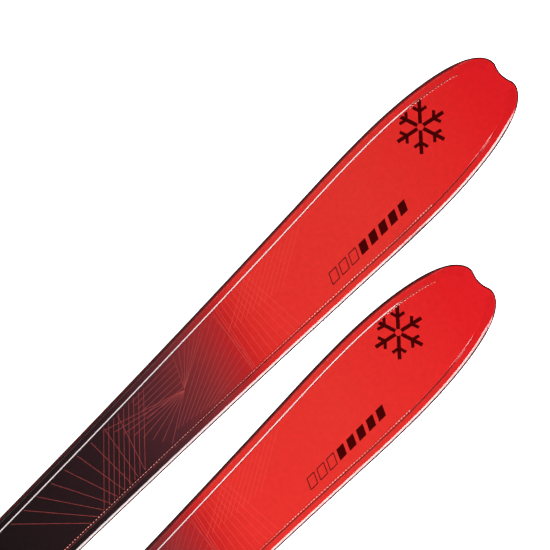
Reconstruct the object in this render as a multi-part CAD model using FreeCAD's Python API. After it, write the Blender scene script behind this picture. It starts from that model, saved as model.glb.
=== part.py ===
import FreeCAD, Part
import math
import os

# A pair of touring skis lying side by side on their bases, the left ski a stride ahead of the right.
# Each ski is a pressed sandwich: base and steel edges, glass laminates around a light core, sidewalls
# and a grooved top sheet, with a protector across the tail. Each layer is its own solid.
# Millimetres. X runs along the skis towards the tips, Y to the left, Z up from the ground.

# The pair
ski_length = 1700.0          # from the lobes of the tip to the tail, measured along the ground
axis_spacing = 137.0         # between the centre lines of the two skis
stagger = 169.0              # how far the left ski lies ahead of the right one

# Outline seen from above, as half widths and distances behind the tip
shovel_half = 57.5
shovel_at = 150.0
waist_half = 40.0
waist_at = 950.0
tail_half = 51.0
tail_at = 1600.0
shovel_run = 66.0            # length of the convex arc that joins the shovel to the sidecut
end_power = 0.6              # bluntness of the two ends: 1 is an ellipse, lower is squarer
end_lead = 1.5               # the full curve of an end would reach this far past its lobes
lobe_half = 21.0             # half width where the side curve turns into a lobe of the tip
lobe_at = 15.2               # lobe apex, off the centre line
notch_half = 12.0            # corners of the scallop between the lobes
notch_corner = 0.344         # those corners, behind the lobe apexes
notch_depth = 2.9            # middle of the scallop, behind the lobe apexes
tail_lobe_half = 22.0
tail_lobe_at = 12.0
clip_half = 6.0              # half width of the slot in the tail for a skin clip
clip_depth = 8.0

# Running surface seen from the side
tip_radius = 310.0
tip_turn_at = 130.0          # where the tip curl begins
rise_radius = 2200.0         # early rise ahead of the front contact
front_contact = (270.0, 330.0)
rear_contact = (1500.0, 1560.0)
camber = 4.0
tail_rise = 14.0
overrun = 14.0               # profile curves run this far past both ends before the outline cuts them

# Thickness of the whole ski and of its layers
tip_thick = 4.4
tail_thick = 5.0
platform_thick = 12.0        # at both ends of the flat binding platform
platform = (730.0, 1100.0)
taper_from = 60.0            # thickness stays constant nearer to the tip than this
base_thick = 1.2
edge_height = 1.8
lower_stack = 2.2            # base, edge flange or laminate, and damper
laminate_thick = 0.7
top_sheet_thick = 0.8
groove_depth = 0.6
plate_thick = 0.6

# Insets from the outline
edge_width = 2.0
flange_inset = 7.0           # inner border of the edge flange and of the damper
wall_inset = 0.9             # sidewall, upper laminate and top sheet, before they are bevelled
bevel_width = 3.3            # the bevel takes their upper corner off at one slope all along the ski
bevel_drop = 1.9
groove_insets = (9.8, 12.2)
core_inset = 9.0             # inner face of the sidewall
stringer_inset = 16.0

# Where pieces begin and end, behind the tip
edge_span = (8.0, 1684.0)
wall_span = (40.0, 1660.0)
core_span = (130.0, 1600.0)
bevel_span = (14.0, 1690.0)  # the bevel fades in and out over bevel_fade at each end
bevel_fade = 50.0
groove_span = (16.0, 1672.0)
protector_from = 1684.0      # every layer ends here against the tail protector
ease_end = math.radians(30.0)    # the top sheet's inset has grown to its full size here on the end curve

side_samples = 14            # points that fit the curve of one end
tall = 90.0                  # more than the height of the ski
clear_outside = 5.0          # cutting strips reach this far outside the outline


def smooth(value):
    value = min(max(value, 0.0), 1.0)
    return value * value * (3.0 - 2.0 * value)


# ---- Side profile -------------------------------------------------------------------------------

camber_middle = (front_contact[1] + rear_contact[0]) / 2.0
camber_half = (rear_contact[0] - front_contact[1]) / 2.0
camber_radius = (camber_half ** 2 + camber ** 2) / (2.0 * camber)
tail_run = ski_length - rear_contact[1]
tail_radius = (tail_run ** 2 + tail_rise ** 2) / (2.0 * tail_rise)


def running_surface(u):
    """Height and slope angle of the base at u behind the tip; the slope is positive where it rises forward."""
    if u < tip_turn_at:
        start = math.asin((front_contact[0] - tip_turn_at) / rise_radius)
        angle = math.asin(math.sin(start) + (tip_turn_at - u) / tip_radius)
        height = rise_radius * (1.0 - math.cos(start))
        return height + tip_radius * (math.cos(start) - math.cos(angle)), angle
    if u < front_contact[0]:
        angle = math.asin((front_contact[0] - u) / rise_radius)
        return rise_radius * (1.0 - math.cos(angle)), angle
    if front_contact[1] < u < rear_contact[0]:
        angle = math.asin((u - camber_middle) / camber_radius)
        return camber + camber_radius * (math.cos(angle) - 1.0), angle
    if u > rear_contact[1]:
        angle = math.asin((u - rear_contact[1]) / tail_radius)
        return tail_radius * (1.0 - math.cos(angle)), -angle
    return 0.0, 0.0


def thickness(u):
    """Thickness of the whole ski at u: even over the tip, thickest and flat-topped at the platform."""
    platform_top = running_surface(platform[0])[0] + platform_thick
    if platform[0] <= u <= platform[1]:
        return platform_top - running_surface(u)[0]
    if u < platform[0]:
        share = smooth((u - taper_from) / (platform[0] - taper_from))
        return tip_thick + (platform_thick - tip_thick) * share
    share = smooth((ski_length - u) / (ski_length - platform[1]))
    return tail_thick + (platform_thick - tail_thick) * share


def lifted(u, height):
    """Point at the given height over the base, measured square to it, in the XZ plane."""
    level, angle = running_surface(u)
    x = -u - height * math.sin(angle)
    return FreeCAD.Vector(x, 0.0, level + height * math.cos(angle))


def arc_or_line(first, middle, last):
    bow = (middle - first).cross(last - first).Length / (last - first).Length
    if bow < 1e-4:
        return Part.makeLine(first, last)
    return Part.Arc(first, middle, last).toShape()


def lower_profile(height):
    """Curve at a constant height over the base, as one arc or line for each stretch of the base."""
    stops = [-overrun, tip_turn_at, front_contact[0], front_contact[1]]
    stops += [rear_contact[0], rear_contact[1], ski_length + overrun]
    edges = []
    for first, last in zip(stops, stops[1:]):
        middle = (first + last) / 2.0
        edges.append(arc_or_line(lifted(first, height), lifted(middle, height), lifted(last, height)))
    return edges


def upper_profile(depth):
    """Curve at a constant depth under the top, flat along the binding platform."""
    stops = [-overrun, taper_from, tip_turn_at, 200.0, front_contact[0], front_contact[1], 430.0, 530.0, 630.0]
    stops += [platform[0], platform[1], 1200.0, 1300.0, 1400.0, rear_contact[0], rear_contact[1]]
    stops += [1630.0, ski_length + overrun]
    edges = []
    for first, last in zip(stops, stops[1:]):
        start, end = [lifted(u, thickness(u) - depth) for u in (first, last)]
        if first == platform[0]:
            edges.append(Part.makeLine(start, end))
            continue
        middle = (first + last) / 2.0
        edges.append(arc_or_line(start, lifted(middle, thickness(middle) - depth), end))
    return edges


def slab(lower, upper):
    """Solid between two profile curves, wider than the ski."""
    start, end = lower[0].Vertexes[0].Point, lower[-1].Vertexes[-1].Point
    upper_start, upper_end = upper[0].Vertexes[0].Point, upper[-1].Vertexes[-1].Point
    edges = list(lower) + [Part.makeLine(end, upper_end)] + list(reversed(upper))
    edges.append(Part.makeLine(upper_start, start))
    wire = Part.Wire(Part.__sortEdges__(edges))
    face = Part.Face(wire)
    face.translate(FreeCAD.Vector(0.0, -tall, 0.0))
    return face.extrude(FreeCAD.Vector(0.0, 2.0 * tall, 0.0))


# ---- Outline ------------------------------------------------------------------------------------

sidecut_angle = 2.0 * math.atan((shovel_half - waist_half) / (waist_at - shovel_at))
sidecut_radius = (waist_at - shovel_at - shovel_run) / math.sin(sidecut_angle)
shovel_radius = shovel_run / math.sin(sidecut_angle)
tail_angle = 2.0 * math.atan((tail_half - waist_half) / (tail_at - waist_at))
sidecut_end = waist_at + sidecut_radius * math.sin(tail_angle)
tail_side_radius = (tail_at - sidecut_end) / math.sin(tail_angle)


def sagitta(run, radius):
    return radius - math.sqrt(radius ** 2 - run ** 2)


def side_point(u, inset):
    """Point of the left border between shovel and tail, moved inwards, square to the border."""
    if u <= shovel_at + shovel_run:
        half = shovel_half - sagitta(u - shovel_at, shovel_radius)
        slope = -math.asin((u - shovel_at) / shovel_radius)
    elif u <= sidecut_end:
        half = waist_half + sagitta(u - waist_at, sidecut_radius)
        slope = math.asin((u - waist_at) / sidecut_radius)
    else:
        half = tail_half - sagitta(tail_at - u, tail_side_radius)
        slope = math.asin((tail_at - u) / tail_side_radius)
    return FreeCAD.Vector(-u - inset * math.sin(slope), half - inset * math.cos(slope), 0.0)


def end_point(angle, inset, tail):
    """Point of the blunt curve round an end; angle is 90 degrees where it meets the long side."""
    centre, half = (tail_at, tail_half) if tail else (shovel_at, shovel_half)
    reach = (ski_length - tail_at if tail else shovel_at) + end_lead
    along = math.cos(angle)
    across = math.sin(angle) ** end_power
    u = centre + reach * along if tail else centre - reach * along
    du = reach * math.sin(angle)
    dy = half * end_power * across / math.sin(angle) * along
    length = math.hypot(du, dy)
    x = -u + inset * dy / length if tail else -u - inset * dy / length
    return FreeCAD.Vector(x, half * across - inset * du / length, 0.0)


def end_angle(half_width, tail):
    full = tail_half if tail else shovel_half
    return math.asin((half_width / full) ** (1.0 / end_power))


def end_curve(inset, eased, tail):
    """Fitted curve round one end, from its lobe to the long side. An eased inset grows from nothing."""
    first = end_angle(tail_lobe_half if tail else lobe_half, tail)
    points = []
    for step in range(side_samples + 1):
        angle = first + (math.pi / 2.0 - first) * step / side_samples
        share = smooth((angle - first) / (ease_end - first)) if eased else 1.0
        points.append(end_point(angle, inset * share, tail))
    curve = Part.BSplineCurve()
    curve.interpolate(points)
    return curve.toShape()


def long_side(inset, eased=False):
    """The whole left border, from the lobe of the tip to the lobe of the tail."""
    stops = [shovel_at, shovel_at + shovel_run, sidecut_end, tail_at]
    edges = [end_curve(inset, eased, False)]
    for first, last in zip(stops, stops[1:]):
        middle = side_point((first + last) / 2.0, inset)
        edges.append(Part.Arc(side_point(first, inset), middle, side_point(last, inset)).toShape())
    edges.append(end_curve(inset, eased, True))
    return edges


def mirrored(shapes):
    return [shape.mirror(FreeCAD.Vector(), FreeCAD.Vector(0.0, 1.0, 0.0)) for shape in shapes]


def lobe(tail):
    """Round lobe between the side curve and the notch of an end."""
    if tail:
        start = end_point(end_angle(tail_lobe_half, True), 0.0, True)
        middle = FreeCAD.Vector(-ski_length, tail_lobe_at, 0.0)
        corner = FreeCAD.Vector(-ski_length + 0.6, clip_half, 0.0)
    else:
        start = end_point(end_angle(lobe_half, False), 0.0, False)
        middle = FreeCAD.Vector(0.0, lobe_at, 0.0)
        corner = FreeCAD.Vector(-notch_corner, notch_half, 0.0)
    return Part.Arc(start, middle, corner).toShape(), corner


def outline(inset):
    """Prism over the whole plan of the ski. The inset fades out at the lobes of both ends."""
    tip_lobe, tip_corner = lobe(False)
    tail_lobe, tail_corner = lobe(True)
    half = long_side(inset, True) + [tip_lobe, tail_lobe]
    slot_foot = FreeCAD.Vector(-ski_length + clip_depth - clip_half, clip_half, 0.0)
    half.append(Part.makeLine(tail_corner, slot_foot))
    edges = half + mirrored(half)
    other_corner = FreeCAD.Vector(tip_corner.x, -tip_corner.y, 0.0)
    edges.append(Part.Arc(tip_corner, FreeCAD.Vector(-notch_depth, 0.0, 0.0), other_corner).toShape())
    other_foot = FreeCAD.Vector(slot_foot.x, -slot_foot.y, 0.0)
    slot_end = FreeCAD.Vector(-ski_length + clip_depth, 0.0, 0.0)
    edges.append(Part.Arc(slot_foot, slot_end, other_foot).toShape())
    return upright(edges)


def upright(edges):
    face = Part.Face(Part.Wire(Part.__sortEdges__(edges)))
    face.translate(FreeCAD.Vector(0.0, 0.0, -tall / 3.0))
    return face.extrude(FreeCAD.Vector(0.0, 0.0, tall * 4.0 / 3.0))


def stretch(span):
    """Block that keeps what lies between two distances behind the tip."""
    corner = FreeCAD.Vector(-span[1], -tall, -tall / 3.0)
    return Part.makeBox(span[1] - span[0], 2.0 * tall, tall * 4.0 / 3.0, corner)


def band(outer, inner, span):
    """Prism over a strip that follows the left border between two insets."""
    outside = long_side(outer)
    inside = long_side(inner)
    edges = outside + inside
    edges.append(Part.makeLine(outside[0].Vertexes[0].Point, inside[0].Vertexes[0].Point))
    edges.append(Part.makeLine(outside[-1].Vertexes[-1].Point, inside[-1].Vertexes[-1].Point))
    return upright(edges).common(stretch(span))


def inner_plan(inset, span):
    """Prism over everything inside one inset, between two distances behind the tip."""
    half = long_side(inset)
    edges = half + mirrored(half)
    ends = [half[0].Vertexes[0].Point, half[-1].Vertexes[-1].Point]
    for end in ends:
        edges.append(Part.makeLine(end, FreeCAD.Vector(end.x, -end.y, 0.0)))
    return upright(edges).common(stretch(span))


# ---- Layers -------------------------------------------------------------------------------------

def layers():
    core_depth = laminate_thick + top_sheet_thick
    level = {
        "ground": lower_profile(0.0),
        "base_top": lower_profile(base_thick),
        "edge_top": lower_profile(edge_height),
        "stack_top": lower_profile(lower_stack),
        "plate_foot": upper_profile(core_depth + plate_thick),
        "core_top": upper_profile(core_depth),
        "laminate_top": upper_profile(top_sheet_thick),
        "groove_floor": upper_profile(groove_depth),
        "top": upper_profile(0.0),
        "above": upper_profile(-2.0),
    }
    pairs = {
        "base": ("ground", "base_top"),
        "head": ("ground", "edge_top"),
        "flange": ("base_top", "edge_top"),
        "damper": ("edge_top", "stack_top"),
        "lower": ("base_top", "stack_top"),
        "core": ("stack_top", "core_top"),
        "block": ("stack_top", "plate_foot"),
        "plate": ("plate_foot", "core_top"),
        "upper": ("core_top", "laminate_top"),
        "sheet": ("laminate_top", "top"),
        "groove": ("groove_floor", "above"),
        "protector": ("ground", "top"),
    }
    return {name: slab(level[low], level[high]) for name, (low, high) in pairs.items()}


def bevel_cut():
    """Lofted wedge that takes the upper left corner off the cap, at one slope from tip to tail."""
    sections = []
    steps = 36
    first, last = bevel_span
    for step in range(steps + 1):
        u = first + (last - first) * step / steps
        level, angle = running_surface(u)
        half, slope = half_width(u)
        widen = math.sqrt(1.0 + slope ** 2)
        missing = 1.0 - smooth(min(u - first, last - u) / bevel_fade)
        foot_inset = wall_inset - bevel_width * missing
        top = level + thickness(u) / math.cos(angle)
        foot = FreeCAD.Vector(-u, half - foot_inset * widen, top - bevel_drop)
        crest = FreeCAD.Vector(-u, half - (foot_inset + bevel_width) * widen, top)
        rise = crest - foot
        low = foot - rise
        high = foot + rise * 1.5
        outside = FreeCAD.Vector(-u, low.y, high.z)
        sections.append(Part.makePolygon([low, high, outside, low]))
    return Part.makeLoft(sections, True, False)


def half_width(u):
    """Half width of the outline at u, and how fast it changes."""
    def plain(distance):
        if distance < shovel_at:
            along = (shovel_at - distance) / (shovel_at + end_lead)
            return shovel_half * math.sqrt(1.0 - along ** 2) ** end_power
        if distance > tail_at:
            along = (distance - tail_at) / (ski_length - tail_at + end_lead)
            return tail_half * math.sqrt(1.0 - along ** 2) ** end_power
        return side_point(distance, 0.0).y
    return plain(u), plain(u + 0.5) - plain(u - 0.5)


def both_sides(solid):
    return [solid, mirrored([solid])[0]]


def ski():
    """All pieces of one ski, in its own frame with the tip lobes at x = 0; side 0 is the left side."""
    layer = layers()
    whole = outline(0.0)
    bevels = both_sides(bevel_cut())
    capped = outline(wall_inset).cut(bevels)
    end_area = stretch((protector_from, ski_length + overrun))

    edge_bands = both_sides(band(0.0, edge_width, edge_span))
    flange_bands = both_sides(band(edge_width, flange_inset, edge_span))
    edge_areas = both_sides(band(0.0, flange_inset, edge_span))
    damper_bands = both_sides(band(wall_inset, flange_inset, edge_span))
    wall_bands = both_sides(band(wall_inset, core_inset, wall_span).cut(bevels[0]))
    wall_rooms = both_sides(band(-clear_outside, core_inset, wall_span))
    stringer_bands = both_sides(band(core_inset, stringer_inset, core_span))
    groove_bands = both_sides(band(groove_insets[0], groove_insets[1], groove_span))

    pieces = {}
    pieces["running_base"] = whole.cut(edge_bands + [end_area]).common(layer["base"])
    for side in (0, 1):
        head = edge_bands[side].common(layer["head"])
        flange = flange_bands[side].common(layer["flange"])
        pieces["steel_edge", side] = head.fuse(flange).removeSplitter()
        pieces["edge_damper", side] = damper_bands[side].common(layer["damper"])
        pieces["sidewall", side] = wall_bands[side].common(layer["core"])
        pieces["stringer", side] = stringer_bands[side].common(layer["core"])
    pieces["lower_laminate"] = whole.cut(edge_areas + [end_area]).common(layer["lower"])

    inside = [inner_plan(stringer_inset, span) for span in
              ((core_span[0], platform[0]), platform, (platform[1], core_span[1]))]
    pieces["front_honeycomb"] = inside[0].common(layer["core"])
    pieces["binding_block"] = inside[1].common(layer["block"])
    pieces["binding_plate"] = inside[1].common(layer["plate"])
    pieces["rear_honeycomb"] = inside[2].common(layer["core"])

    tip_area = capped.common(stretch((-overrun, core_span[0]))).cut(wall_rooms)
    tail_area = capped.common(stretch((core_span[1], ski_length + overrun))).cut(wall_rooms + [end_area])
    pieces["tip_spacer"] = tip_area.common(layer["core"])
    pieces["tail_spacer"] = tail_area.common(layer["core"])
    cap = capped.cut(end_area)
    pieces["upper_laminate"] = cap.common(layer["upper"])
    sheet = cap.common(layer["sheet"])
    for groove in groove_bands:
        sheet = sheet.cut(groove.common(layer["groove"]))
    pieces["top_sheet"] = sheet
    pieces["tail_protector"] = whole.common(end_area).common(layer["protector"])
    return pieces


def main():
    os.makedirs("parts", exist_ok=True)
    middle = (ski_length + stagger) / 2.0
    places = {
        "left": FreeCAD.Vector(middle, axis_spacing / 2.0, 0.0),
        "right": FreeCAD.Vector(middle - stagger, -axis_spacing / 2.0, 0.0),
    }
    side_names = {"left": ("outer", "inner"), "right": ("inner", "outer")}
    pieces = ski()
    for ski_name, place in places.items():
        for key, piece in pieces.items():
            name = key
            if isinstance(key, tuple):
                name = side_names[ski_name][key[1]] + "_" + key[0]
            moved = piece.copy()
            moved.translate(place)
            moved.exportStep("parts/" + ski_name + "_" + name + ".step")
            if ski_name == "left":
                box = moved.BoundBox
                print(name, len(moved.Solids), moved.isValid(), round(moved.Volume), len(moved.Faces),
                      [round(v, 1) for v in (box.XLength, box.YLength, box.ZLength)])


main()
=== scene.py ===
import math
import bmesh
import bpy
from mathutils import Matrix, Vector


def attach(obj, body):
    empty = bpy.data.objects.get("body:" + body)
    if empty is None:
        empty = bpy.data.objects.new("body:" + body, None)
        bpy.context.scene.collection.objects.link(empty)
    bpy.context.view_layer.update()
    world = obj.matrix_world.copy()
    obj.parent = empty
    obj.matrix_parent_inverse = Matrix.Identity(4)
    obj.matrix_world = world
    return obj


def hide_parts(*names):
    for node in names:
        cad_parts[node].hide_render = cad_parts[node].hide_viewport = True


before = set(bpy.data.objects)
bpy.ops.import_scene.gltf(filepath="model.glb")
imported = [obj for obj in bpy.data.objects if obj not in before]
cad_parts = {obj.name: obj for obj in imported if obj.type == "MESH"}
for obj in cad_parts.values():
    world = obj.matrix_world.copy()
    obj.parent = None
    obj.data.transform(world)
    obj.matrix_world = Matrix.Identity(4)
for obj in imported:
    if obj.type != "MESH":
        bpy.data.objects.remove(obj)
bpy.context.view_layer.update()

# Two touring skis on their bases, the left one a stride ahead. Each layer that shows gets a finer mesh
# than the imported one, built on rows across the ski. u runs from the tip to the tail, y to the left, in m.

ski = {
    "length": 1.700,
    "spacing": 0.137,            # between the two centre lines
    "stagger": 0.169,            # how far the left ski lies ahead
    "shovelHalf": 0.0575, "shovelAt": 0.150,
    "waistHalf": 0.040, "waistAt": 0.950,
    "tailHalf": 0.051, "tailAt": 1.600,
    "shovelRun": 0.066,
    "endPower": 0.6, "endLead": 0.0015,
    "lobeHalf": 0.021, "lobeAt": 0.0152,
    "notchHalf": 0.012, "notchCorner": 0.000344, "notchDepth": 0.0029,
    "tipRadius": 0.310, "tipTurnAt": 0.130, "riseRadius": 2.200,
    "frontContact": (0.270, 0.330), "rearContact": (1.500, 1.560),
    "camber": 0.004, "tailRise": 0.014,
    "tipThick": 0.0044, "tailThick": 0.005, "platformThick": 0.012,
    "platform": (0.730, 1.100), "taperFrom": 0.060,
    "protectorFrom": 1.684,
}

layer = {
    "base": 0.0012, "edgeTop": 0.0018, "stackTop": 0.0022,   # heights over the running surface
    "sheet": 0.0008, "laminate": 0.0015,                     # depths under the top
    "wallInset": 0.0009, "bevelWidth": 0.0033, "bevelDrop": 0.0019, "crestSlope": 0.364,
    "glossyBorder": 0.0116,
    "bevelSpan": (0.012, 1.690), "bevelFade": 0.026,
    "wallSpan": (0.040, 1.660), "edgeSpan": (0.0066, 1.684),
    "easeEnd": math.radians(30.0),
    "noseLean": 0.8,                                         # 1 is a nose cut square to the sheet
}
bodies = {"left": "left_ski", "right": "right_ski"}
tipX = {"left": (ski["length"] + ski["stagger"]) / 2, "right": (ski["length"] - ski["stagger"]) / 2}
centreY = {"left": ski["spacing"] / 2, "right": -ski["spacing"] / 2}
sideNames = {"left": ("outer", "inner"), "right": ("inner", "outer")}


def smooth(value):
    value = min(max(value, 0.0), 1.0)
    return value * value * (3 - 2 * value)


# ---- the lines of the ski: side profile, thickness and outline

def runningSurface(u):
    # height and slope angle of the base
    startFront, endFront = ski["frontContact"]
    startRear, endRear = ski["rearContact"]
    if u < ski["tipTurnAt"]:
        start = math.asin((startFront - ski["tipTurnAt"]) / ski["riseRadius"])
        angle = math.asin(math.sin(start) + (ski["tipTurnAt"] - u) / ski["tipRadius"])
        height = ski["riseRadius"] * (1 - math.cos(start))
        return height + ski["tipRadius"] * (math.cos(start) - math.cos(angle)), angle
    if u < startFront:
        angle = math.asin((startFront - u) / ski["riseRadius"])
        return ski["riseRadius"] * (1 - math.cos(angle)), angle
    if endFront < u < startRear:
        half = (startRear - endFront) / 2
        radius = (half ** 2 + ski["camber"] ** 2) / (2 * ski["camber"])
        angle = math.asin((u - (endFront + startRear) / 2) / radius)
        return ski["camber"] + radius * (math.cos(angle) - 1), angle
    if u > endRear:
        run = ski["length"] - endRear
        radius = (run ** 2 + ski["tailRise"] ** 2) / (2 * ski["tailRise"])
        angle = math.asin((u - endRear) / radius)
        return radius * (1 - math.cos(angle)), -angle
    return 0.0, 0.0


def thickness(u):
    front, rear = ski["platform"]
    top = runningSurface(front)[0] + ski["platformThick"]
    if front <= u <= rear:
        return top - runningSurface(u)[0]
    if u < front:
        share = smooth((u - ski["taperFrom"]) / (front - ski["taperFrom"]))
        return ski["tipThick"] + (ski["platformThick"] - ski["tipThick"]) * share
    share = smooth((ski["length"] - u) / (ski["length"] - rear))
    return ski["tailThick"] + (ski["platformThick"] - ski["tailThick"]) * share


def overBase(u, height):
    level, angle = runningSurface(u)
    return level + height / math.cos(angle)


def underTop(u, depth):
    level, angle = runningSurface(u)
    return level + (thickness(u) - depth) / math.cos(angle)


sidecutAngle = 2 * math.atan((ski["shovelHalf"] - ski["waistHalf"]) / (ski["waistAt"] - ski["shovelAt"]))
sidecutRadius = (ski["waistAt"] - ski["shovelAt"] - ski["shovelRun"]) / math.sin(sidecutAngle)
shovelRadius = ski["shovelRun"] / math.sin(sidecutAngle)
tailAngle = 2 * math.atan((ski["tailHalf"] - ski["waistHalf"]) / (ski["tailAt"] - ski["waistAt"]))
sidecutEnd = ski["waistAt"] + sidecutRadius * math.sin(tailAngle)
tailSideRadius = (ski["tailAt"] - sidecutEnd) / math.sin(tailAngle)


def sagitta(run, radius):
    return radius - math.sqrt(radius ** 2 - run ** 2)


def borderPoint(u, inset):
    # long side between shovel and tail, moved square to itself
    if u <= ski["shovelAt"] + ski["shovelRun"]:
        half = ski["shovelHalf"] - sagitta(u - ski["shovelAt"], shovelRadius)
        slope = -math.asin((u - ski["shovelAt"]) / shovelRadius)
    elif u <= sidecutEnd:
        half = ski["waistHalf"] + sagitta(u - ski["waistAt"], sidecutRadius)
        slope = math.asin((u - ski["waistAt"]) / sidecutRadius)
    else:
        half = ski["tailHalf"] - sagitta(ski["tailAt"] - u, tailSideRadius)
        slope = math.asin((ski["tailAt"] - u) / tailSideRadius)
    return u + inset * math.sin(slope), half - inset * math.cos(slope)


def endPoint(angle, inset, tail=False):
    # blunt curve round an end; 90 degrees is where it meets the long side
    centre = ski["tailAt"] if tail else ski["shovelAt"]
    half = ski["tailHalf"] if tail else ski["shovelHalf"]
    reach = (ski["length"] - ski["tailAt"] if tail else ski["shovelAt"]) + ski["endLead"]
    way = 1 if tail else -1
    across = math.sin(angle) ** ski["endPower"]
    du = reach * math.sin(angle)
    dy = half * ski["endPower"] * across / math.sin(angle) * math.cos(angle)
    size = math.hypot(du, dy)
    return centre + way * (reach * math.cos(angle) - inset * dy / size), half * across - inset * du / size


firstAngle = math.asin((ski["lobeHalf"] / ski["shovelHalf"]) ** (1 / ski["endPower"]))


def stationList(stepLong=0.005):
    # one entry for each row: how to find its border point, and how far the insets have eased in
    rows = []
    count = 44
    for step in range(count):
        share = step / count
        angle = firstAngle + (math.pi / 2 - firstAngle) * share ** 1.15
        rows.append(("tip", angle))
    long = ski["tailAt"] - ski["shovelAt"]
    count = round(long / stepLong)
    rows += [("side", ski["shovelAt"] + long * step / count) for step in range(count + 1)]
    reach = ski["length"] - ski["tailAt"] + ski["endLead"]
    last = math.acos((ski["protectorFrom"] - ski["tailAt"]) / reach)
    count = 22
    rows += [("tail", math.pi / 2 + (last - math.pi / 2) * step / count) for step in range(1, count + 1)]
    return rows


def stationPoint(row, inset):
    kind, value = row
    if kind == "side":
        return borderPoint(value, inset)
    u, y = endPoint(value, inset, kind == "tail")
    if kind == "tail":
        return min(u, ski["protectorFrom"]), y
    return u, y


def easeShare(row):
    kind, value = row
    if kind == "side":
        return 1.0
    first = firstAngle if kind == "tip" else math.asin((0.022 / ski["tailHalf"]) ** (1 / ski["endPower"]))
    return smooth((value - first) / (layer["easeEnd"] - first))


def bevelCrest(u, wall):
    # inset at which the bevel reaches the top
    first, last = layer["bevelSpan"]
    return wall + layer["bevelWidth"] * smooth(min(u - first, last - u) / layer["bevelFade"])


def bevelDepth(run):
    # the bevel is a little convex: it starts gently at the crest and steepens towards its foot
    first = layer["crestSlope"]
    return first * run + (layer["bevelDrop"] / layer["bevelWidth"] - first) / layer["bevelWidth"] * run ** 2


def bevelRun(depth):
    first = layer["crestSlope"]
    bend = (layer["bevelDrop"] / layer["bevelWidth"] - first) / layer["bevelWidth"]
    return (math.sqrt(first ** 2 + 4 * bend * depth) - first) / (2 * bend)


# ---- meshes

def newPiece(name, verts, faces, side, mats, matIndex=None, smoothFaces=True, insets=None):
    # verts are (u, y, z) in the ski's own frame
    mesh = bpy.data.meshes.new(name)
    mesh.from_pydata([(tipX[side] - u, centreY[side] + y, z) for u, y, z in verts], [], faces)
    uvLayer = mesh.uv_layers.new(name="along")
    for loop in mesh.loops:
        u, y, z = verts[loop.vertex_index]
        uvLayer.data[loop.index].uv = (u, y)
    if insets:
        mesh.attributes.new("borderInset", "FLOAT", "POINT").data.foreach_set("value", insets)
    for mat in mats:
        mesh.materials.append(mat)
    if matIndex:
        for poly, index in zip(mesh.polygons, matIndex):
            poly.material_index = index
    work = bmesh.new()
    work.from_mesh(mesh)
    bmesh.ops.remove_doubles(work, verts=work.verts, dist=1e-7)
    bmesh.ops.dissolve_degenerate(work, edges=work.edges, dist=1e-8)
    bmesh.ops.recalc_face_normals(work, faces=work.faces)
    work.to_mesh(mesh)
    work.free()
    for poly in mesh.polygons:
        poly.use_smooth = smoothFaces
    piece = bpy.data.objects.new(name, mesh)
    bpy.context.scene.collection.objects.link(piece)
    return piece


def creaseByAngle(piece, degrees):
    # smooth shading with sharp borders, kept in the mesh
    mesh = piece.data
    work = bmesh.new()
    work.from_mesh(mesh)
    limit = math.radians(degrees)
    for edge in work.edges:
        edge.smooth = len(edge.link_faces) == 2 and edge.calc_face_angle(0.0) < limit
    work.to_mesh(mesh)
    work.free()


def arcPoints(start, middle, end, count):
    ax, ay = start
    bx, by = middle
    cx, cy = end
    d = 2 * (ax * (by - cy) + bx * (cy - ay) + cx * (ay - by))
    ux = ((ax**2 + ay**2) * (by - cy) + (bx**2 + by**2) * (cy - ay) + (cx**2 + cy**2) * (ay - by)) / d
    uy = ((ax**2 + ay**2) * (cx - bx) + (bx**2 + by**2) * (ax - cx) + (cx**2 + cy**2) * (bx - ax)) / d
    radius = math.hypot(ax - ux, ay - uy)
    first, mid, last = [math.atan2(y - uy, x - ux) for x, y in (start, middle, end)]
    turn = 2 * math.pi
    way = 1 if (mid - first) % turn < (last - first) % turn else -1
    sweep = (way * (last - first)) % turn
    return [(ux + radius * math.cos(first + way * sweep * i / count),
             uy + radius * math.sin(first + way * sweep * i / count)) for i in range(count + 1)]


def makeNoseFront(total):
    # evenly spaced points round both lobes and the notch, with the corners between them eased
    start = endPoint(firstAngle, 0.0)
    corner = (ski["notchCorner"], ski["notchHalf"])
    left = arcPoints(start, (0.0, ski["lobeAt"]), corner, 60)
    notch = arcPoints(corner, (ski["notchDepth"], 0.0), (corner[0], -corner[1]), 160)
    points = left + notch[1:] + [(u, -y) for u, y in reversed(left)][1:]
    even = spreadEvenly(points, 241)
    for round in range(60):
        even = [even[0]] + [tuple((p + 2 * q + r) / 4 for p, q, r in zip(a, b, c))
                            for a, b, c in zip(even, even[1:], even[2:])] + [even[-1]]
    return spreadEvenly(even, total)


def spreadEvenly(points, total):
    lengths = [0.0]
    for a, b in zip(points, points[1:]):
        lengths.append(lengths[-1] + math.dist(a, b))
    spread, index = [], 0
    for step in range(total):
        goal = lengths[-1] * step / (total - 1)
        while index < len(points) - 2 and lengths[index + 1] < goal:
            index += 1
        a, b = points[index], points[index + 1]
        t = (goal - lengths[index]) / (lengths[index + 1] - lengths[index])
        spread.append((a[0] + (b[0] - a[0]) * t, a[1] + (b[1] - a[1]) * t))
    return spread


def inwardNormals(points):
    normals = []
    for i in range(len(points)):
        a, b = points[max(i - 1, 0)], points[min(i + 1, len(points) - 1)]
        du, dy = b[0] - a[0], b[1] - a[1]
        size = math.hypot(du, dy)
        normals.append((-dy / size, du / size))
    return normals


def forwardShare(row):
    # how far the border faces forward: 1 across the nose, 0 along the sides
    if row[0] != "tip":
        return 0.0
    return max((stationPoint(row, 0.001)[0] - stationPoint(row, 0.0)[0]) / 0.001, 0.0)


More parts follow.
